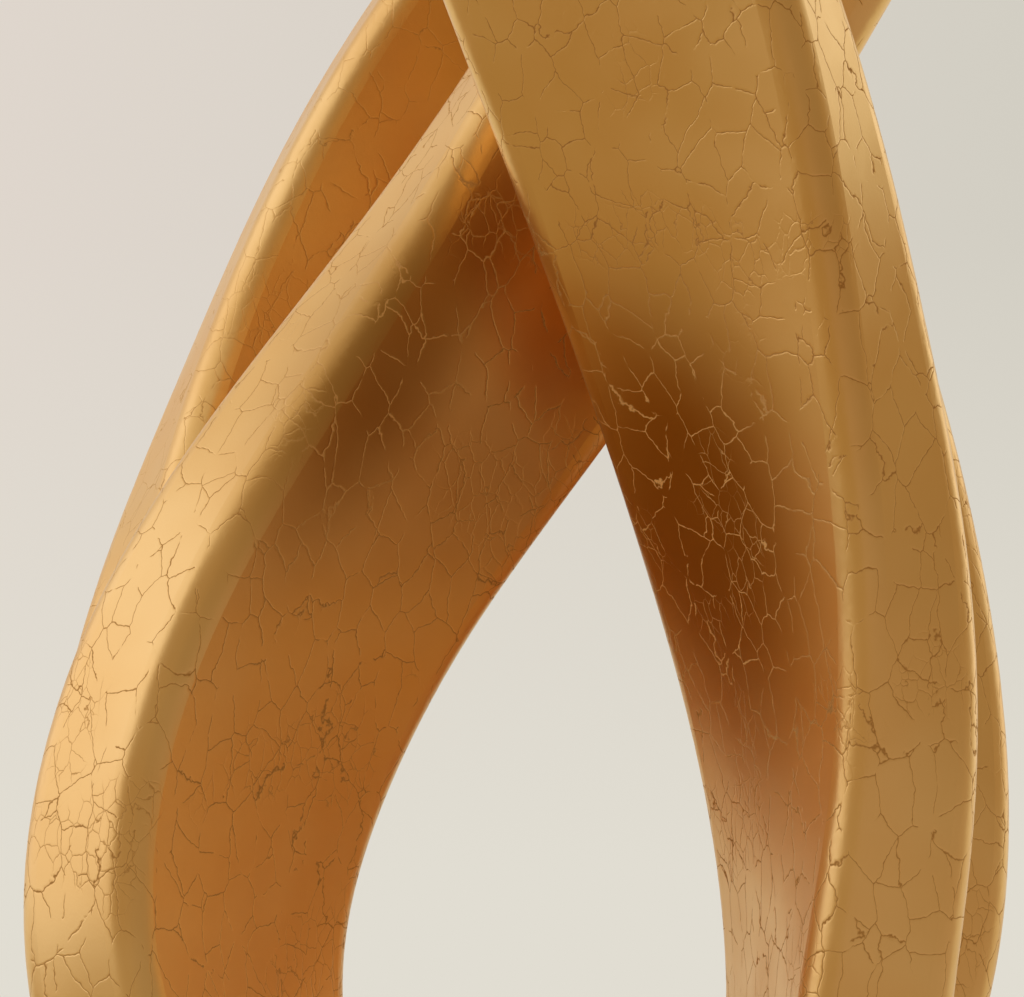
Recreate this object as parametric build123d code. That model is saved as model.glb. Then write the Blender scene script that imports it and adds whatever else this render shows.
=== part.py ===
from build123d import *
import math
import os

# A knot sculpture: one closed flat band that runs twice round a figure of eight.
# The band is a chain of hollow cast shells, butted together on sleeves inside the seams.
# X is to the right, Y away from the viewer and Z up, in millimetres and degrees.
# The origin is on the surface that the sculpture stands on, under the middle of its outline.

# Band
BAND_WIDTH = 74.0
BAND_THICKNESS = 31.0
EDGE_RADIUS = 7.0
INSIDE_RADIUS = 3.0
WALL = 3.5
LOOP_GAP = 8.0
CROWN_GAP = 11.0

# Joining sleeves
SLEEVE_WALL = 2.5
SLEEVE_CLEARANCE = 0.3
SLEEVE_REACH = 0.35

# Feet
FELT_THICKNESS = 2.0
FELT_MARGIN = 2.0
PLATE_THICKNESS = 3.0
PLATE_LENGTH = 50.0
PLATE_WIDTH = 60.0
PLATE_CORNER = 5.0
FLAT_DEPTH = 1.2
BALLAST_CLEARANCE = 0.3
BALLAST_REACH = 0.75

# Foot screws
SCREW_DIAMETER = 4.0
SCREW_HEAD = 8.0
SCREW_LENGTH = 14.0
SCREW_CLEARANCE = 0.2
SCREW_SPACING_X = 24.0
SCREW_SPACING_Y = 36.0

# Section spacing along the path, in stations
STEP = 0.5
OVERRUN = 1.0

# How far the blocks that trim the shells' ends stand out past the band
TRIM_MARGIN = 2.0

# Levels and depths that follow from the sizes above
SEAT_Z = FELT_THICKNESS + PLATE_THICKNESS
FOOT_Z = SEAT_Z + BAND_THICKNESS / 2 - FLAT_DEPTH
LOOP_DEPTH = (BAND_WIDTH + LOOP_GAP) / 2
INNER_CROWN_Z = 478.0
OUTER_CROWN_Z = INNER_CROWN_Z + BAND_THICKNESS + CROWN_GAP

# Path of the band, once round: x, depth, z, roll and how much slimmer than BAND_WIDTH it is.
# Depth counts in LOOP_DEPTH, towards the back. Roll 0 shows the broad face, 90 shows the rim.
PATH = [
    # Front foot, then up the front right leg and over the neck in front of all the others
    (-15, -1.00, FOOT_Z, 90, 0),
    (15, -1.00, FOOT_Z, 90, 0),
    (43, -1.00, 31, 86, 0),
    (60, -1.00, 58, 82, 0),
    (64, -1.00, 92, 79, 0),
    (64, -1.02, 131, 68, 0),
    (58, -1.10, 172, 57, 0),
    (47, -1.28, 215, 45, 3),
    (34, -1.48, 258, 31, 3),
    (18, -1.62, 302, 22, 3),
    # Upper left, outer crown and upper right, from front to back
    (1, -1.62, 346, 20, 2),
    (-20, -1.45, 391, 32, 0),
    (-32, -1.05, 442, 56, 0),
    (-19, -0.38, OUTER_CROWN_Z - 16, 77, 0),
    (34, 0.50, OUTER_CROWN_Z + 8, 88, 0),
    (85, 1.08, OUTER_CROWN_Z - 18, 80, 0),
    (102, 1.40, 446, 56, 0),
    (86, 1.64, 394, 28, 0),
    (55, 1.84, 346, 11, 0),
    # Down the back left leg to the back foot
    (26, 1.96, 311, 8, 0),
    (1, 1.96, 279, 8, 0),
    (-20, 1.84, 243, 9, 0),
    (-36, 1.58, 205, 11, 0),
    (-51, 1.20, 165, 23, 0),
    (-66, 1.04, 124, 48, 0),
    (-75, 1.00, 88, 66, 0),
    (-67, 1.00, 57, 77, 0),
    (-44, 1.00, 31, 86, 0),
    (-15, 1.00, FOOT_Z, 90, 0),
    (15, 1.00, FOOT_Z, 90, 0),
    (45, 1.00, 31, 85, 0),
    # Up the back right leg, hidden behind the front one
    (66, 1.00, 57, 76, 0),
    (75, 1.00, 92, 66, 0),
    (74, 1.00, 131, 58, 0),
    (66, 0.98, 172, 46, 4),
    (54, 1.00, 215, 28, 8),
    (39, 1.01, 258, 12, 8),
    (21, 0.97, 302, 6, 6),
    # Upper left, inner crown and upper right, from back to front
    (2, 0.92, 346, 12, 3),
    (-16, 0.98, 390, 34, 0),
    (-17, 0.86, 432, 60, 0),
    (5, 0.32, INNER_CROWN_Z - 15, 78, 0),
    (34, -0.44, INNER_CROWN_Z, 88, 0),
    (64, -1.02, INNER_CROWN_Z - 12, 80, 0),
    (85, -1.18, 432, 58, 0),
    (86, -0.94, 390, 32, 2),
    (68, -0.52, 346, 14, 5),
    # Down the front left leg, behind the front right one
    (45, -0.20, 301, 9, 8),
    (22, -0.14, 262, 16, 9),
    (-5, -0.32, 222, 25, 9),
    (-33, -0.62, 184, 37, 6),
    (-54, -0.86, 147, 46, 0),
    (-65, -0.98, 108, 53, 0),
    (-61, -1.00, 70, 65, 0),
    (-42, -1.00, 35, 81, 0),
]

# Cast shells in order, each with the station where it starts
SHELLS = [
    ("front_foot", -2),
    ("front_right_leg", 3),
    ("outer_left_limb", 9),
    ("outer_crown", 12),
    ("outer_right_limb", 16),
    ("back_left_leg", 19),
    ("back_foot", 26),
    ("back_right_leg", 31),
    ("inner_left_limb", 37),
    ("inner_crown", 40),
    ("inner_right_limb", 44),
    ("front_left_leg", 47),
]
FEET = {"front": 0.5, "back": 28.5}


def station(index):
    """A station of the path as x, y, z, roll and slimming, counted round the closed band."""
    x, depth, z, roll, slim = PATH[index % len(PATH)]
    return (x, depth * LOOP_DEPTH, z, roll, slim)


def control(index):
    """The spline's control values that carry the curve through its stations."""
    before, here, after = station(index - 1), station(index), station(index + 1)
    return [b - (a - 2 * b + c) / 6 for a, b, c in zip(before, here, after)]


def path_values(u):
    """The path's values and their rates at u, on a cubic spline through the stations."""
    first = math.floor(u)
    f = u - first
    shares = [(1 - f) ** 3, 3 * f**3 - 6 * f**2 + 4, -3 * f**3 + 3 * f**2 + 3 * f + 1, f**3]
    rates = [-((1 - f) ** 2), 3 * f**2 - 4 * f, -3 * f**2 + 2 * f + 1, f**2]
    controls = [control(first + offset) for offset in (-1, 0, 1, 2)]
    values = [sum(s * c[k] for s, c in zip(shares, controls)) / 6 for k in range(5)]
    slopes = [sum(r * c[k] for r, c in zip(rates, controls)) / 2 for k in range(5)]
    return values, slopes


def band_plane(u):
    """The plane square to the band at u, with its X axis towards the front rim."""
    values, slopes = path_values(u)
    along = Vector(*slopes[:3]).normalized()
    front = Vector(0, -1, 0)
    front = (front - along * front.dot(along)).normalized()
    side = along.cross(front)
    roll = math.radians(values[3])
    rim = front * math.sin(roll) + side * math.cos(roll)
    return Plane(origin=values[:3], x_dir=rim, z_dir=along)


def band_section(u, inset):
    """The band's rounded section at u, drawn in by an inset on all sides."""
    width = BAND_WIDTH - path_values(u)[0][4]
    corner = INSIDE_RADIUS if inset else EDGE_RADIUS
    return band_plane(u) * RectangleRounded(width - 2 * inset, BAND_THICKNESS - 2 * inset, corner)


def band_solid(start, end, inset=0):
    """A solid stretch of the band between two places on the path."""
    count = max(2, round((end - start) / STEP))
    places = [start + (end - start) * k / count for k in range(count + 1)]
    return loft([band_section(u, inset) for u in places])


def shell(start, end):
    """A hollow stretch of the band, drawn longer and then trimmed square to the path at both ends."""
    outside = band_solid(start - OVERRUN, end + OVERRUN)
    inside = band_solid(start - OVERRUN - STEP, end + OVERRUN + STEP, WALL)
    before = band_solid(start - OVERRUN - STEP, start, -TRIM_MARGIN)
    after = band_solid(end, end + OVERRUN + STEP, -TRIM_MARGIN)
    return outside - inside - before - after


def sleeve(u):
    """The ring inside a seam that both shells slide on to."""
    fit = WALL + SLEEVE_CLEARANCE
    body = band_solid(u - SLEEVE_REACH, u + SLEEVE_REACH, fit)
    bore = band_solid(u - SLEEVE_REACH - STEP / 5, u + SLEEVE_REACH + STEP / 5, fit + SLEEVE_WALL)
    return body - bore


def screw_places(foot):
    """Where the foot screws stand, on the underside of the plate."""
    x, y = path_values(FEET[foot])[0][:2]
    pattern = GridLocations(SCREW_SPACING_X, SCREW_SPACING_Y, 2, 2)
    return [Pos(x, y, FELT_THICKNESS) * place for place in pattern]


def screw(clearance=0):
    """A countersunk screw that points up, with its head flush at the origin."""
    head_depth = (SCREW_HEAD - SCREW_DIAMETER) / 2
    radius = SCREW_DIAMETER / 2 + clearance
    upward = (Align.CENTER, Align.CENTER, Align.MIN)
    shank = Cylinder(radius, SCREW_LENGTH, align=upward)
    head = Cone(SCREW_HEAD / 2 + clearance, radius, head_depth, align=upward)
    return shank + head


def foot_slab(foot, margin, bottom, thickness):
    """A flat rounded slab under a foot, smaller than the plate by a margin."""
    x, y = path_values(FEET[foot])[0][:2]
    outline = RectangleRounded(PLATE_LENGTH - 2 * margin, PLATE_WIDTH - 2 * margin, PLATE_CORNER - margin)
    return Pos(x, y, bottom) * extrude(outline, thickness)


def make_parts():
    """All the pieces by name, each in its place."""
    parts = {}
    starts = [start for _, start in SHELLS] + [SHELLS[0][1] + len(PATH)]
    for (name, start), end in zip(SHELLS, starts[1:]):
        parts[name] = shell(start, end)
        parts[name + "_sleeve"] = sleeve(end)
    for foot, middle in FEET.items():
        holes = [place * screw(SCREW_CLEARANCE) for place in screw_places(foot)]
        ballast = band_solid(middle - BALLAST_REACH, middle + BALLAST_REACH, WALL + BALLAST_CLEARANCE)
        flat_foot = split(parts[foot + "_foot"], bisect_by=Plane.XY.offset(SEAT_Z), keep=Keep.TOP)
        parts[foot + "_foot"] = flat_foot - holes
        parts[foot + "_ballast"] = ballast - holes
        parts[foot + "_foot_plate"] = foot_slab(foot, 0, FELT_THICKNESS, PLATE_THICKNESS) - holes
        parts[foot + "_felt_pad"] = foot_slab(foot, FELT_MARGIN, 0, FELT_THICKNESS)
        parts[foot + "_foot_screws"] = Compound([place * screw() for place in screw_places(foot)])
    return parts


def plan_middle(pieces):
    """The middle of all the pieces together, seen from above."""
    boxes = [piece.bounding_box() for piece in pieces]
    x = (min(box.min.X for box in boxes) + max(box.max.X for box in boxes)) / 2
    y = (min(box.min.Y for box in boxes) + max(box.max.Y for box in boxes)) / 2
    return Pos(x, y, 0)


os.makedirs("parts", exist_ok=True)
parts = make_parts()
to_origin = plan_middle(parts.values()).inverse()
for node, piece in parts.items():
    export_step(to_origin * piece, f"parts/{node}.step")
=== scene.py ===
"""The looks of a gilt knot sculpture: its crackled finish, its feet, and a plain pale studio."""
import logging
import math
from dataclasses import dataclass
from enum import Enum

import bmesh
import bpy
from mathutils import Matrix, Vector


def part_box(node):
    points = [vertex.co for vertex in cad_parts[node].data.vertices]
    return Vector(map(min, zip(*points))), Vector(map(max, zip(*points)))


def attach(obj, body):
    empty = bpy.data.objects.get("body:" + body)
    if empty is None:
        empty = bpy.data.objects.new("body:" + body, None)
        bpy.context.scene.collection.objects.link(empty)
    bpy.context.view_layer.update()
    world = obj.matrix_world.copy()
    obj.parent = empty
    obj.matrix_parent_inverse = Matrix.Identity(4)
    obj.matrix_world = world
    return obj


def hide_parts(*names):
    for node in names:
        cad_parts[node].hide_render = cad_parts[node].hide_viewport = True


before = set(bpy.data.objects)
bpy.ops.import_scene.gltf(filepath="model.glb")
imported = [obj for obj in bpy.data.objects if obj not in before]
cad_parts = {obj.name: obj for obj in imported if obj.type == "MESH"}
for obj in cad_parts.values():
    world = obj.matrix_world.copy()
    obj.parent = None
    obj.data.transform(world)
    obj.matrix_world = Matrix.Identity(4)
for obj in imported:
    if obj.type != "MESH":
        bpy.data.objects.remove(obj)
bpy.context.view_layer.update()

BODY = "root"
MM = 0.001

# A Mix node's socket names repeat, so its sockets go by number: those for colours, then for values
COLOUR_A, COLOUR_B, COLOUR_OUT = 6, 7, 2
VALUE_A, VALUE_B, VALUE_OUT = 2, 3, 0

log = logging.getLogger("knot")

NodeInputs = dict[str | int, object]
Span = tuple[float, float]
Place = tuple[float, float, float]


class Foot(Enum):
    """The two feet that the knot stands on."""

    FRONT = "front"
    BACK = "back"


def linear(hex_colour: str) -> tuple[float, float, float, float]:
    """Turn an sRGB hex colour to linear light.

    Args:
        hex_colour: Six hex digits after a hash sign.

    Returns:
        Red, green, blue and an alpha of 1.
    """
    values = [int(hex_colour[k : k + 2], 16) / 255 for k in (1, 3, 5)]
    r, g, b = [v / 12.92 if v <= 0.04045 else ((v + 0.055) / 1.055) ** 2.4 for v in values]
    return (r, g, b, 1.0)


def feed(tree: bpy.types.NodeTree, node: bpy.types.Node, inputs: NodeInputs) -> None:
    """Set or link a node's inputs.

    Args:
        tree: The tree that holds the node.
        node: The node that is fed.
        inputs: Values, or sockets to link, by input name or number.
    """
    for name, value in inputs.items():
        if isinstance(value, bpy.types.NodeSocket):
            tree.links.new(value, node.inputs[name])
        else:
            node.inputs[name].default_value = value


def add_node(
    tree: bpy.types.NodeTree, kind: str, inputs: NodeInputs | None = None, **settings: object
) -> bpy.types.Node:
    """Add a node to a tree, with its settings and what feeds its inputs.

    Args:
        tree: The node tree of a material or the world.
        kind: The node's type name.
        inputs: Values, or sockets to link, by input name or number.
        settings: The node's own properties by name.

    Returns:
        The new node.
    """
    node = tree.nodes.new(kind)
    for name, value in settings.items():
        setattr(node, name, value)
    feed(tree, node, inputs or {})
    return node


def empty_material(name: str) -> bpy.types.Material:
    """Make a material whose node tree is empty.

    Args:
        name: The material's name.

    Returns:
        The material.
    """
    material = bpy.data.materials.new(name)
    material.use_nodes = True
    material.node_tree.nodes.clear()
    return material


def new_material(name: str) -> tuple[bpy.types.Material, bpy.types.NodeTree, bpy.types.Node]:
    """Make a material that has only a surface shader.

    Args:
        name: The material's name.

    Returns:
        The material, its node tree and its surface shader.
    """
    material = empty_material(name)
    tree = material.node_tree
    shader = add_node(tree, "ShaderNodeBsdfPrincipled")
    add_node(tree, "ShaderNodeOutputMaterial", {"Surface": shader.outputs["BSDF"]})
    return material, tree, shader


@dataclass(frozen=True)
class Crook:
    """An egg-shaped space in the crossing where shade is painted into the gold: where it is and how brown.

    It leans in the plane of the front view. Its share of painted shade is the most in its middle.
    """

    middle_mm: Place
    reach_mm: Place
    lean_degrees: float
    most: float


@dataclass(frozen=True)
class GiltCrackle:
    """Satin gilt on cast metal, under a lacquer that has crazed.

    The gilding is warm and soft in its reflections. The crazing is a net of hairline cracks, wide
    apart in some places and fine in others. A crack is rough and sunk, so that it is dark on bright
    faces and bright on dark ones; in the crooks, where shade is painted, it is also painted brighter than the
    gold.
    """

    gold: str = "#F6CA80"
    deep_gold: str = "#F2C276"
    # Painted shade: the brown that the gold is darkened to in the crooks of the crossing
    painted_shade: str = "#9C671F"
    crack_tint: str = "#C89852"
    # Painted highlight: the colour of the cracks where shade is painted, brighter than the gold
    painted_crack_highlight: str = "#FFDC98"

    # Satin from its smoothest to its roughest, and the dull floor of a crack
    roughness: Span = (0.30, 0.37)
    crack_roughness: float = 0.8

    # The wide net and the fine one, drawn out upright
    cell_mm: float = 6.6
    fine_cell_mm: float = 3.3
    fine_most: float = 0.85
    upright_stretch: float = 0.62
    crack_mm: float = 0.24
    furrow_mm: float = 0.5
    furrow_depth_mm: float = 0.03

    # How the nets bend: the width of a bend, and its reach as a share of that
    drift_mm: float = 19.0
    drift_reach: float = 0.34
    bend_mm: float = 3.6
    bend_reach: float = 0.36
    jag_mm: float = 1.1
    jag_reach: float = 0.5

    patch_mm: float = 36.0
    grain_mm: float = 0.6
    grain_depth_mm: float = 0.01

    # Spans of noise in which cracks begin, gold deepens and satin roughens
    wide_noise: Span = (0.3, 0.48)
    fine_noise: Span = (0.47, 0.62)
    gold_noise: Span = (0.35, 0.65)
    satin_noise: Span = (0.3, 0.7)

    # From front to back the cracks narrow, and from low to high the lacquer clears
    faint_mm: Span = (15.0, 45.0)
    faint_by_mm: float = 0.045
    film_mm: Span = (100.0, 220.0)
    film_metallic: float = 0.84

    # Where the painted shade starts and ends, as shares of a crook's reach
    crook_fade: Span = (0.3, 1.1)
    crooks: tuple[Crook, Crook] = (
        Crook((12.0, -58.0, 176.0), (48.0, 42.0, 64.0), 0.0, 0.95),
        Crook((-46.0, -33.0, 208.0), (19.0, 44.0, 75.0), 34.0, 0.74),
    )

    def material(self) -> bpy.types.Material:
        """Build the finish on Object coordinates, so that it runs on across the seams.

        Returns:
            The material.
        """
        material, tree, shader = new_material("satin gilt with crazed lacquer")
        place = add_node(tree, "ShaderNodeTexCoord").outputs["Object"]
        nearest = self.crack_distance(tree, place)
        crack = self.ramp(tree, nearest, (0.0, self.crack_mm / 2), (1.0, 0.0))
        feed(
            tree,
            shader,
            {
                "Base Color": self.colour(tree, place, crack),
                "Metallic": self.film(tree, place),
                "Roughness": self.rough(tree, place, crack),
                "Normal": self.relief(tree, place, nearest),
            },
        )
        return material

    def ramp(
        self, tree: bpy.types.NodeTree, value: bpy.types.NodeSocket, span: Span, result: Span
    ) -> bpy.types.NodeSocket:
        """Turn a span of values smoothly into another.

        Args:
            tree: The material's node tree.
            value: What is turned.
            span: The values at the two ends.
            result: What they become.

        Returns:
            The new value.
        """
        return add_node(
            tree,
            "ShaderNodeMapRange",
            {
                "Value": value,
                "From Min": span[0],
                "From Max": span[1],
                "To Min": result[0],
                "To Max": result[1],
            },
            interpolation_type="SMOOTHSTEP",
        ).outputs["Result"]

    def cloud(
        self, tree: bpy.types.NodeTree, place: bpy.types.NodeSocket, size_mm: float, detail: float = 2.0
    ) -> bpy.types.Node:
        """Noise with lumps of a real size.

        Args:
            tree: The material's node tree.
            place: Object coordinates.
            size_mm: The width of a lump.
            detail: How many finer layers it has.

        Returns:
            The noise node.
        """
        return add_node(
            tree, "ShaderNodeTexNoise", {"Vector": place, "Scale": 1 / (size_mm * MM), "Detail": detail}
        )

    def warped(self, tree: bpy.types.NodeTree, place: bpy.types.NodeSocket) -> bpy.types.NodeSocket:
        """Bend the coordinates, slowly, then closer and in small jags, and stretch them upright.

        Args:
            tree: The material's node tree.
            place: Object coordinates.

        Returns:
            The bent coordinates.
        """
        bends = (
            (self.drift_mm, self.drift_reach),
            (self.bend_mm, self.bend_reach),
            (self.jag_mm, self.jag_reach),
        )
        bent = place
        for size, reach in bends:
            noise = self.cloud(tree, place, size, detail=1.0).outputs["Color"]
            centred = add_node(
                tree, "ShaderNodeVectorMath", {0: noise, 1: (0.5, 0.5, 0.5)}, operation="SUBTRACT"
            )
            bent = add_node(
                tree,
                "ShaderNodeVectorMath",
                {0: centred.outputs["Vector"], 1: (reach * size * MM,) * 3, 2: bent},
                operation="MULTIPLY_ADD",
            ).outputs["Vector"]
        stretch = (1.0, 1.0, self.upright_stretch)
        return add_node(tree, "ShaderNodeMapping", {"Vector": bent, "Scale": stretch}).outputs["Vector"]

    def net(
        self,
        tree: bpy.types.NodeTree,
        warped: bpy.types.NodeSocket,
        cell_mm: float,
        kept: bpy.types.NodeSocket,
    ) -> bpy.types.NodeSocket:
        """The distance from one net of cracks, which taper out where they aren't kept.

        Args:
            tree: The material's node tree.
            warped: Bent coordinates.
            cell_mm: The width of a cell.
            kept: 1 where the cracks are whole, 0 where there are none.

        Returns:
            The distance in millimetres.
        """
        cells = add_node(
            tree,
            "ShaderNodeTexVoronoi",
            {"Vector": warped, "Scale": 1 / (cell_mm * MM)},
            feature="DISTANCE_TO_EDGE",
        )
        faded = self.ramp(tree, kept, (0.0, 1.0), (self.furrow_mm, 0.0))
        return add_node(
            tree,
            "ShaderNodeMath",
            {0: cells.outputs["Distance"], 1: cell_mm, 2: faded},
            operation="MULTIPLY_ADD",
        ).outputs[0]

    def crack_distance(
        self, tree: bpy.types.NodeTree, place: bpy.types.NodeSocket
    ) -> bpy.types.NodeSocket:
        """The distance from the nearest crack: a wide net with gaps in it, and a fine net in patches.

        It grows a little towards the back, where the cracks are fainter.

        Args:
            tree: The material's node tree.
            place: Object coordinates.

        Returns:
            The distance in millimetres.
        """
        warped = self.warped(tree, place)
        lumps = self.cloud(tree, place, self.cell_mm).outputs["Fac"]
        patches = self.cloud(tree, place, self.patch_mm).outputs["Fac"]
        wide_kept = self.ramp(tree, lumps, self.wide_noise, (0.0, 1.0))
        fine_kept = self.ramp(tree, patches, self.fine_noise, (0.0, self.fine_most))
        wide = self.net(tree, warped, self.cell_mm, wide_kept)
        fine = self.net(tree, warped, self.fine_cell_mm, fine_kept)
        nearest = add_node(tree, "ShaderNodeMath", {0: wide, 1: fine}, operation="MINIMUM").outputs[0]
        depth = add_node(tree, "ShaderNodeSeparateXYZ", {"Vector": place}).outputs["Y"]
        start, end = (v * MM for v in self.faint_mm)
        faint = self.ramp(tree, depth, (start, end), (0.0, self.faint_by_mm))
        return add_node(tree, "ShaderNodeMath", {0: nearest, 1: faint}, operation="ADD").outputs[0]

    def colour(
        self, tree: bpy.types.NodeTree, place: bpy.types.NodeSocket, crack: bpy.types.NodeSocket
    ) -> bpy.types.NodeSocket:
        """Gold that varies slowly, with shade painted into it in the crooks of the crossing.

        Its cracks hold dirt where the gold is bright. Where shade is painted, they are painted brighter than
        the gold as a painted highlight.

        Args:
            tree: The material's node tree.
            place: Object coordinates.
            crack: 1 in the middle of a crack, 0 between them.

        Returns:
            The base colour.
        """
        patches = self.cloud(tree, place, self.patch_mm).outputs["Fac"]
        deep = self.ramp(tree, patches, self.gold_noise, (0.0, 1.0))
        crook = self.crook(tree, place)
        gold = add_node(
            tree,
            "ShaderNodeMix",
            {"Factor": deep, COLOUR_A: linear(self.gold), COLOUR_B: linear(self.deep_gold)},
            data_type="RGBA",
        ).outputs[COLOUR_OUT]
        # Painted shade: the gold darkens towards brown in the crooks of the crossing
        gold_with_painted_shade = add_node(
            tree,
            "ShaderNodeMix",
            {"Factor": crook, COLOUR_A: gold, COLOUR_B: linear(self.painted_shade)},
            data_type="RGBA",
        ).outputs[COLOUR_OUT]
        # Cracks hold dirt on the bright gold, and carry a painted highlight where shade is painted
        broken = add_node(
            tree,
            "ShaderNodeMix",
            {
                "Factor": crook,
                COLOUR_A: linear(self.crack_tint),
                COLOUR_B: linear(self.painted_crack_highlight),
            },
            data_type="RGBA",
        ).outputs[COLOUR_OUT]
        return add_node(
            tree,
            "ShaderNodeMix",
            {"Factor": crack, COLOUR_A: gold_with_painted_shade, COLOUR_B: broken},
            data_type="RGBA",
        ).outputs[COLOUR_OUT]

    def film(self, tree: bpy.types.NodeTree, place: bpy.types.NodeSocket) -> bpy.types.NodeSocket:
        """The metal's clearness, less low down, where the lacquer has gone milky.

        Args:
            tree: The material's node tree.
            place: Object coordinates.

        Returns:
            The metallic share.
        """
        height = add_node(tree, "ShaderNodeSeparateXYZ", {"Vector": place}).outputs["Z"]
        low, high = (v * MM for v in self.film_mm)
        return self.ramp(tree, height, (low, high), (self.film_metallic, 1.0))

    def crook(self, tree: bpy.types.NodeTree, place: bpy.types.NodeSocket) -> bpy.types.NodeSocket:
        """How much shade is painted at a place by the two crooks of the crossing.

        Args:
            tree: The material's node tree.
            place: Object coordinates.

        Returns:
            The share of painted shade, 0 away from both crooks.
        """
        shares = []
        for crook in self.crooks:
            inside = add_node(
                tree,
                "ShaderNodeMapping",
                {
                    "Vector": place,
                    "Location": tuple(v * MM for v in crook.middle_mm),
                    "Rotation": (0.0, math.radians(crook.lean_degrees), 0.0),
                    "Scale": tuple(v * MM for v in crook.reach_mm),
                },
                vector_type="TEXTURE",
            ).outputs["Vector"]
            away = add_node(tree, "ShaderNodeVectorMath", {0: inside}, operation="LENGTH").outputs["Value"]
            shares.append(self.ramp(tree, away, self.crook_fade, (crook.most, 0.0)))
        return add_node(
            tree, "ShaderNodeMath", {0: shares[0], 1: shares[1]}, operation="MAXIMUM"
        ).outputs[0]

    def rough(
        self, tree: bpy.types.NodeTree, place: bpy.types.NodeSocket, crack: bpy.types.NodeSocket
    ) -> bpy.types.NodeSocket:
        """Satin that is a little uneven, and dull in the cracks.

        Args:
            tree: The material's node tree.
            place: Object coordinates.
            crack: 1 in the middle of a crack, 0 between them.

        Returns:
            The roughness.
        """
        lumps = self.cloud(tree, place, self.drift_mm).outputs["Fac"]
        satin = self.ramp(tree, lumps, self.satin_noise, self.roughness)
        return add_node(
            tree,
            "ShaderNodeMix",
            {"Factor": crack, VALUE_A: satin, VALUE_B: self.crack_roughness},
            data_type="FLOAT",
        ).outputs[VALUE_OUT]

    def relief(
        self, tree: bpy.types.NodeTree, place: bpy.types.NodeSocket, nearest: bpy.types.NodeSocket
    ) -> bpy.types.NodeSocket:
        """Cracks that sink in as furrows, on a faint stipple.

        Args:
            tree: The material's node tree.
            place: Object coordinates.
            nearest: The distance from the nearest crack in millimetres.

        Returns:
            The bent normal.
        """
        stipple = add_node(
            tree,
            "ShaderNodeBump",
            {
                "Distance": self.grain_depth_mm * MM,
                "Height": self.cloud(tree, place, self.grain_mm, detail=3.0).outputs["Fac"],
            },
        )
        return add_node(
            tree,
            "ShaderNodeBump",
            {
                "Distance": self.furrow_depth_mm * MM,
                "Height": self.ramp(tree, nearest, (0.0, self.furrow_mm / 2), (0.0, 1.0)),
                "Normal": stipple.outputs["Normal"],
            },
        ).outputs["Normal"]


@dataclass(frozen=True)
class SandCastMetal:
    """Bare sand-cast metal inside the band: grey, dull and pitted by the sand of its mould."""

    name: str
    colour: str
    dark: str
    roughness: float
    grit_mm: float = 0.8
    pit_depth_share: float = 0.15
    pit_strength: float = 0.7

    def material(self) -> bpy.types.Material:
        """Build the finish on Object coordinates.

        Returns:
            The material.
        """
        material, tree, shader = new_material(self.name)
        place = add_node(tree, "ShaderNodeTexCoord").outputs["Object"]
        grit = add_node(
            tree, "ShaderNodeTexNoise", {"Vector": place, "Scale": 1 / (self.grit_mm * MM), "Detail": 4.0}
        ).outputs["Fac"]
        colour = add_node(
            tree,
            "ShaderNodeMix",
            {"Factor": grit, COLOUR_A: linear(self.dark), COLOUR_B: linear(self.colour)},
            data_type="RGBA",
        )
        pits = add_node(
            tree,
            "ShaderNodeBump",
            {
                "Strength": self.pit_strength,
                "Distance": self.pit_depth_share * self.grit_mm * MM,
                "Height": grit,
            },
        )
        feed(
            tree,
            shader,
            {
                "Base Color": colour.outputs[COLOUR_OUT],
                "Metallic": 1.0,
                "Roughness": self.roughness,
                "Normal": pits.outputs["Normal"],
            },
        )
        return material


@dataclass(frozen=True)
class BrushedSteel:
    """Steel sheet brushed along its length: fine straight scratches that streak its reflections."""

    name: str
    colour: str = "#C9C8C4"
    worn: str = "#A9A8A5"
    roughness: float = 0.3
    scratch_mm: float = 0.35
    scratch_length_mm: float = 14.0
    roughness_rise: float = 0.15
    furrow_depth_share: float = 0.1
    furrow_strength: float = 0.5

    def material(self) -> bpy.types.Material:
        """Build the finish on Object coordinates, with scratches along X.

        Returns:
            The material.
        """
        material, tree, shader = new_material(self.name)
        place = add_node(tree, "ShaderNodeTexCoord").outputs["Object"]
        across = 1 / (self.scratch_mm * MM)
        along = 1 / (self.scratch_length_mm * MM)
        streaked = add_node(tree, "ShaderNodeMapping", {"Vector": place, "Scale": (along, across, across)})
        scratches = add_node(
            tree, "ShaderNodeTexNoise", {"Vector": streaked.outputs["Vector"], "Scale": 1.0, "Detail": 3.0}
        ).outputs["Fac"]
        colour = add_node(
            tree,
            "ShaderNodeMix",
            {"Factor": scratches, COLOUR_A: linear(self.worn), COLOUR_B: linear(self.colour)},
            data_type="RGBA",
        )
        rough = add_node(
            tree,
            "ShaderNodeMapRange",
            {
                "Value": scratches,
                "To Min": self.roughness,
                "To Max": self.roughness + self.roughness_rise,
            },
        )
        furrows = add_node(
            tree,
            "ShaderNodeBump",
            {
                "Strength": self.furrow_strength,
                "Distance": self.furrow_depth_share * self.scratch_mm * MM,
                "Height": scratches,
            },
        )
        feed(
            tree,
            shader,
            {
                "Base Color": colour.outputs[COLOUR_OUT],
                "Metallic": 1.0,
                "Roughness": rough.outputs["Result"],
                "Normal": furrows.outputs["Normal"],
            },
        )
        return material


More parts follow.
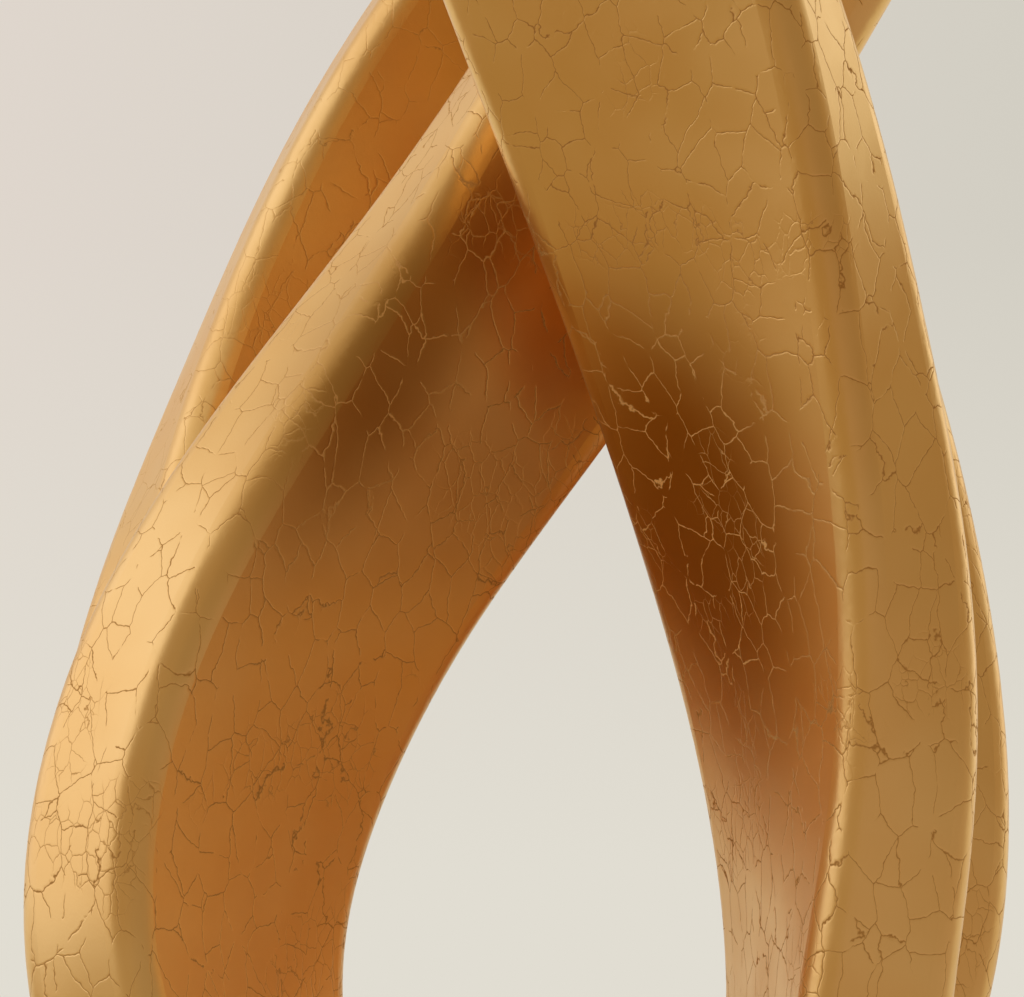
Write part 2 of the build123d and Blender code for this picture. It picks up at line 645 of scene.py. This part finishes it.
@dataclass(frozen=True)
class PressedFelt:
    """Pressed wool felt: dark, matt and mottled, with short fibres that lie all ways."""

    colour: str = "#4A4038"
    pale_fibre: str = "#6B5E52"
    roughness: float = 0.95
    sheen: float = 0.4
    fibre_mm: float = 0.45
    fibre_curl: float = 1.5
    clump_mm: float = 4.0
    nap_depth_share: float = 0.4
    nap_strength: float = 0.8

    def material(self) -> bpy.types.Material:
        """Build the finish on Object coordinates.

        Returns:
            The material.
        """
        material, tree, shader = new_material("pressed wool felt")
        place = add_node(tree, "ShaderNodeTexCoord").outputs["Object"]
        fibres = add_node(
            tree,
            "ShaderNodeTexNoise",
            {
                "Vector": place,
                "Scale": 1 / (self.fibre_mm * MM),
                "Detail": 4.0,
                "Distortion": self.fibre_curl,
            },
        ).outputs["Fac"]
        clumps = add_node(
            tree, "ShaderNodeTexNoise", {"Vector": place, "Scale": 1 / (self.clump_mm * MM), "Detail": 2.0}
        ).outputs["Fac"]
        mottle = add_node(tree, "ShaderNodeMath", {0: fibres, 1: clumps}, operation="MULTIPLY")
        colour = add_node(
            tree,
            "ShaderNodeMix",
            {
                "Factor": mottle.outputs[0],
                COLOUR_A: linear(self.colour),
                COLOUR_B: linear(self.pale_fibre),
            },
            data_type="RGBA",
        )
        nap = add_node(
            tree,
            "ShaderNodeBump",
            {
                "Strength": self.nap_strength,
                "Distance": self.nap_depth_share * self.fibre_mm * MM,
                "Height": fibres,
            },
        )
        feed(
            tree,
            shader,
            {
                "Base Color": colour.outputs[COLOUR_OUT],
                "Roughness": self.roughness,
                "Sheen Weight": self.sheen,
                "Normal": nap.outputs["Normal"],
            },
        )
        return material


def dress(node: str, material: bpy.types.Material) -> None:
    """Give a CAD node its finish through its material slots.

    Args:
        node: The node's name.
        material: The finish.
    """
    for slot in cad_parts[node].material_slots:
        slot.material = material
    log.info("dressed %s in %s", node, material.name)


@dataclass
class Band:
    """The closed band: cast shells end to end, each with the sleeve inside its seam."""

    sleeve_ending: str = "_sleeve"

    def sleeves(self) -> list[str]:
        """The names of the joining sleeves."""
        return sorted(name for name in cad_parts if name.endswith(self.sleeve_ending))

    def shells(self) -> list[str]:
        """The names of the cast shells, each of which has a sleeve named for it."""
        return [name.removesuffix(self.sleeve_ending) for name in self.sleeves()]

    def dress(self) -> None:
        """Gild the shells, and leave the sleeves as cast."""
        gilt = GiltCrackle().material()
        cast = SandCastMetal("sand cast aluminium", "#B9B7B2", "#8C8A86", roughness=0.5).material()
        for name in self.shells():
            dress(name, gilt)
        for name in self.sleeves():
            dress(name, cast)


@dataclass
class FootSet:
    """What is under and inside the two feet: ballast, plate, screws and a felt pad for each."""

    felt_slot: str = "felt"
    corner_mm: float = 3.0
    corner_steps: int = 6
    edge_mm: float = 0.45
    edge_steps: int = 3
    smooth_degrees: float = 50.0

    # An edge is upright if it rises by this share of its length, and a face lies flat above this normal
    upright_rise: float = 0.5
    flat_normal: float = 0.9

    def dress(self) -> None:
        """Give the hidden metal its finishes, and make the felt."""
        iron = SandCastMetal("grey cast iron", "#6F6C68", "#45433F", roughness=0.6, grit_mm=1.4).material()
        plate = BrushedSteel("brushed steel sheet").material()
        screws = BrushedSteel(
            "turned steel", "#BDBCB8", "#8F8E8B", roughness=0.25, scratch_mm=0.2, scratch_length_mm=3.0
        ).material()
        felt = PressedFelt().material()
        for foot in Foot:
            dress(f"{foot.value}_ballast", iron)
            dress(f"{foot.value}_foot_plate", plate)
            dress(f"{foot.value}_foot_screws", screws)
            self.felt_pad(foot, felt)

    def felt_pad(self, foot: Foot, felt: bpy.types.Material) -> bpy.types.Object:
        """A die-cut felt pad with round corners and soft edges, in the place of its CAD solid.

        Args:
            foot: The foot that the pad is under.
            felt: The finish.

        Returns:
            The pad.
        """
        node = f"{foot.value}_felt_pad"
        low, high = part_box(node)
        bpy.ops.object.select_all(action="DESELECT")
        bpy.ops.mesh.primitive_cube_add(size=1.0, location=(low + high) / 2, scale=high - low)
        pad = bpy.context.object
        pad.name = f"{foot.value}_felt"
        pad.data.name = pad.name
        bpy.ops.object.transform_apply(location=True, rotation=True, scale=True)
        bpy.ops.object.mode_set(mode="EDIT")
        self.select_edges(pad, upright=True)
        bpy.ops.mesh.bevel(offset=self.corner_mm * MM, segments=self.corner_steps, affect="EDGES")
        self.select_edges(pad, upright=False)
        bpy.ops.mesh.bevel(offset=self.edge_mm * MM, segments=self.edge_steps, affect="EDGES")
        bpy.ops.object.mode_set(mode="OBJECT")
        bpy.ops.object.shade_smooth_by_angle(angle=math.radians(self.smooth_degrees))
        pad.data.materials.append(felt)
        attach(pad, BODY)
        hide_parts(node)
        log.info("made %s", pad.name)
        return pad

    def select_edges(self, pad: bpy.types.Object, upright: bool) -> None:
        """Select a slab's upright corner edges, or the edges round its top and bottom.

        Args:
            pad: The slab, in edit mode.
            upright: Whether the upright edges are wanted.
        """
        shape = bmesh.from_edit_mesh(pad.data)
        for edge in shape.edges:
            rise = abs(edge.verts[0].co.z - edge.verts[1].co.z)
            rises = rise > self.upright_rise * edge.calc_length()
            flats = [abs(face.normal.z) > self.flat_normal for face in edge.link_faces]
            on_rim = any(flats) and not all(flats) and not rises
            edge.select_set(rises if upright else on_rim)
        bmesh.update_edit_mesh(pad.data)


@dataclass(frozen=True)
class StudioPaper:
    """Matt background paper for the floor: pale and even, with a faint tooth."""

    colour: str = "#E6E1D2"
    roughness: float = 0.85
    pulp_mm: float = 11.11
    tooth_mm: float = 1.0
    tooth_strength: float = 0.1

    def material(self) -> bpy.types.Material:
        """Build the finish on Object coordinates.

        Returns:
            The material.
        """
        material, tree, shader = new_material("matt studio paper")
        place = add_node(tree, "ShaderNodeTexCoord").outputs["Object"]
        pulp = add_node(
            tree, "ShaderNodeTexNoise", {"Vector": place, "Scale": 1 / (self.pulp_mm * MM), "Detail": 3.0}
        )
        tooth = add_node(
            tree,
            "ShaderNodeBump",
            {
                "Strength": self.tooth_strength,
                "Distance": self.tooth_mm * MM,
                "Height": pulp.outputs["Fac"],
            },
        )
        feed(
            tree,
            shader,
            {
                "Base Color": linear(self.colour),
                "Roughness": self.roughness,
                "Normal": tooth.outputs["Normal"],
            },
        )
        return material


@dataclass(frozen=True)
class Flag:
    """A dim cloth round the sculpture, which only reflections show.

    Its span is in degrees clockwise from the back, as seen from above. Its colour is how bright it is.
    """

    name: str
    span: Span
    colour: str

    def material(self) -> bpy.types.Material:
        """Build a cloth that looks the same all over in reflections.

        Returns:
            The material.
        """
        material = empty_material(f"{self.name} cloth")
        tree = material.node_tree
        glow = add_node(tree, "ShaderNodeEmission", {"Color": linear(self.colour), "Strength": 1.0})
        add_node(tree, "ShaderNodeOutputMaterial", {"Surface": glow.outputs["Emission"]})
        return material


@dataclass(frozen=True)
class Softbox:
    """A soft lamp: where it stands, what it faces, its width and height in metres, and its light."""

    name: str
    place: Place
    target: Place
    size: Span
    radiance: float
    colour: str


@dataclass
class Studio:
    """A pale studio in metres: a round floor, soft lamps, flags that keep the front dim, and the camera."""

    # The backdrop, and the parts of a view's direction over which it goes from left to right and down
    backdrop_left: str = "#DFD6CD"
    backdrop_right: str = "#D2CEC3"
    backdrop_low: str = "#E1DDD2"
    backdrop_across: Span = (-0.1, 0.1)
    backdrop_down: Span = (0.05, -0.07)
    world_colour: str = "#FFFDF9"
    world_level: float = 0.75

    floor_radius: float = 0.8
    floor_sides: int = 128

    # Flags that stand on the floor's level, and flags that lie on it
    wall_radius: float = 1.9
    wall_height: float = 2.6
    walls: tuple[Flag, ...] = (
        Flag("right_flag", (71.0, 105.0), "#A18A69"),
        Flag("dark_flag", (105.0, 165.0), "#958062"),
        Flag("front_flag", (165.0, 224.0), "#9D8665"),
    )
    cloth_radii: Span = (0.16, 1.9)
    cloth_lift_mm: float = 2.0
    cloths: tuple[Flag, ...] = (
        Flag("left_cloth", (180.0, 285.0), "#A68E66"),
        Flag("right_cloth", (85.0, 180.0), "#AE9989"),
    )
    arc_steps: int = 40

    softboxes: tuple[Softbox, ...] = (
        Softbox("left_softbox", (-1.25, -0.05, 0.75), (0.0, -0.05, 0.75), (1.8, 1.3), 0.66, "#BCCCFF"),
        Softbox("right_softbox", (1.1, 0.95, 0.5), (0.0, 0.0, 0.35), (0.5, 0.9), 0.6, "#E4ECFF"),
        Softbox("top_softbox", (0.0, 0.1, 1.8), (0.0, 0.1, 0.0), (1.0, 1.0), 0.25, "#FFFFFF"),
    )

    # The camera, from the middle of the front felt pad, and its lens in the photograph's pixels
    camera_aside: float = -0.0006
    camera_distance: float = 1.0595
    camera_height: float = 0.1863
    lens_px: float = 5300.0
    image_width: int = 1024
    sensor_mm: float = 36.0

    def build(self) -> None:
        """Build all of the studio."""
        self.set_view()
        self.world()
        self.floor()
        self.flags()
        self.lamps()
        self.camera()

    def set_view(self) -> None:
        """Show colours as they are written."""
        bpy.context.scene.view_settings.view_transform = "Standard"

    def world(self) -> None:
        """A pale backdrop for the eye and for reflections, and a plain level of light from all round."""
        world = bpy.data.worlds.new("pale studio")
        world.use_nodes = True
        bpy.context.scene.world = world
        tree = world.node_tree
        tree.nodes.clear()
        path = add_node(tree, "ShaderNodeLightPath").outputs
        seen = add_node(
            tree, "ShaderNodeMath", {0: path["Is Camera Ray"], 1: path["Is Glossy Ray"]}, operation="MAXIMUM"
        ).outputs[0]
        shown = add_node(
            tree, "ShaderNodeMath", {0: seen, 1: path["Is Transmission Ray"]}, operation="MAXIMUM"
        ).outputs[0]
        light = add_node(
            tree, "ShaderNodeBackground", {"Color": linear(self.world_colour), "Strength": self.world_level}
        )
        paper = add_node(tree, "ShaderNodeBackground", {"Color": self.backdrop(tree), "Strength": 1.0})
        both = add_node(
            tree,
            "ShaderNodeMixShader",
            {0: shown, 1: light.outputs["Background"], 2: paper.outputs["Background"]},
        )
        add_node(tree, "ShaderNodeOutputWorld", {"Surface": both.outputs["Shader"]})

    def backdrop(self, tree: bpy.types.NodeTree) -> bpy.types.NodeSocket:
        """The backdrop's colour, which goes slowly from left to right and pales low down.

        Args:
            tree: The world's node tree.

        Returns:
            The colour.
        """
        toward = add_node(tree, "ShaderNodeTexCoord").outputs["Generated"]
        parts = add_node(tree, "ShaderNodeSeparateXYZ", {"Vector": toward}).outputs
        left, right = self.backdrop_across
        across = add_node(
            tree, "ShaderNodeMapRange", {"Value": parts["X"], "From Min": left, "From Max": right}
        ).outputs["Result"]
        high, low = self.backdrop_down
        down = add_node(
            tree, "ShaderNodeMapRange", {"Value": parts["Z"], "From Min": high, "From Max": low}
        ).outputs["Result"]
        level = add_node(
            tree,
            "ShaderNodeMix",
            {
                "Factor": across,
                COLOUR_A: linear(self.backdrop_left),
                COLOUR_B: linear(self.backdrop_right),
            },
            data_type="RGBA",
        ).outputs[COLOUR_OUT]
        return add_node(
            tree,
            "ShaderNodeMix",
            {"Factor": down, COLOUR_A: level, COLOUR_B: linear(self.backdrop_low)},
            data_type="RGBA",
        ).outputs[COLOUR_OUT]

    def floor(self) -> bpy.types.Object:
        """A round pale floor, which ends outside the photograph's view.

        Returns:
            The floor.
        """
        bpy.ops.object.select_all(action="DESELECT")
        bpy.ops.mesh.primitive_circle_add(
            vertices=self.floor_sides, radius=self.floor_radius, fill_type="NGON"
        )
        floor = bpy.context.object
        floor.name = "studio_floor"
        floor.data.materials.append(StudioPaper().material())
        return floor

    def arc(self, radius: float, span: Span) -> bpy.types.Object:
        """A level arc of edges round the sculpture, in edit mode with all of it selected.

        Args:
            radius: The arc's radius in metres.
            span: Where it starts and ends, in degrees clockwise from the back as seen from above.

        Returns:
            The new object.
        """
        first, last = (math.radians(v) for v in span)
        bpy.ops.object.select_all(action="DESELECT")
        bpy.ops.mesh.primitive_plane_add(size=1.0)
        flag = bpy.context.object
        bpy.ops.object.mode_set(mode="EDIT")
        bpy.ops.mesh.select_all(action="SELECT")
        bpy.ops.mesh.merge(type="CENTER")
        bpy.ops.transform.translate(value=(radius * math.sin(first), radius * math.cos(first), 0.0))
        bpy.ops.mesh.spin(
            steps=self.arc_steps, angle=last - first, center=(0.0, 0.0, 0.0), axis=(0.0, 0.0, 1.0)
        )
        bpy.ops.mesh.select_all(action="SELECT")
        return flag

    def flags(self) -> None:
        """Dim warm flags that the metal reflects in front, as a photographer sets round shiny things."""
        for flag in self.walls:
            wall = self.arc(self.wall_radius, flag.span)
            bpy.ops.mesh.extrude_region_move(TRANSFORM_OT_translate={"value": (0.0, 0.0, self.wall_height)})
            bpy.ops.object.mode_set(mode="OBJECT")
            self.hide(wall, flag)
        inner, outer = self.cloth_radii
        lift = self.cloth_lift_mm * MM
        wider = outer / inner
        for flag in self.cloths:
            cloth = self.arc(inner, flag.span)
            bpy.ops.transform.translate(value=(0.0, 0.0, lift))
            bpy.ops.mesh.extrude_region()
            bpy.ops.transform.resize(value=(wider, wider, 1.0), center_override=(0.0, 0.0, lift))
            bpy.ops.object.mode_set(mode="OBJECT")
            self.hide(cloth, flag)

    def hide(self, cloth: bpy.types.Object, flag: Flag) -> None:
        """Name a flag's mesh, and let only reflections show it.

        Args:
            cloth: The mesh.
            flag: What it is.
        """
        cloth.name = flag.name
        cloth.visible_camera = False
        cloth.visible_diffuse = False
        cloth.visible_shadow = False
        cloth.data.materials.append(flag.material())

    def lamps(self) -> None:
        """Soft lamps: a large one on the left, a small one behind on the right, and one overhead."""
        for box in self.softboxes:
            data = bpy.data.lights.new(box.name, "AREA")
            data.shape = "RECTANGLE"
            data.size, data.size_y = box.size
            data.energy = box.radiance * math.pi * box.size[0] * box.size[1]
            data.color = linear(box.colour)[:3]
            lamp = bpy.data.objects.new(box.name, data)
            lamp.location = box.place
            lamp.rotation_euler = (Vector(box.target) - Vector(box.place)).to_track_quat("-Z", "Y").to_euler()
            lamp.visible_camera = False
            bpy.context.scene.collection.objects.link(lamp)

    def camera(self) -> bpy.types.Object:
        """The photograph's camera: level, about a metre off, with a long lens.

        Returns:
            The camera.
        """
        low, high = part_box("front_felt_pad")
        middle = (low + high) / 2
        data = bpy.data.cameras.new("photo_camera")
        data.sensor_fit = "HORIZONTAL"
        data.sensor_width = self.sensor_mm
        data.lens = self.lens_px * self.sensor_mm / self.image_width
        camera = bpy.data.objects.new("photo_camera", data)
        camera.location = (middle.x + self.camera_aside, middle.y - self.camera_distance, self.camera_height)
        camera.rotation_euler = (math.pi / 2, 0.0, 0.0)
        bpy.context.scene.collection.objects.link(camera)
        bpy.context.scene.camera = camera
        return camera


def main() -> None:
    """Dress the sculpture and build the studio."""
    logging.basicConfig(level=logging.INFO)
    Band().dress()
    FootSet().dress()
    Studio().build()


if __name__ == "__main__":
    main()
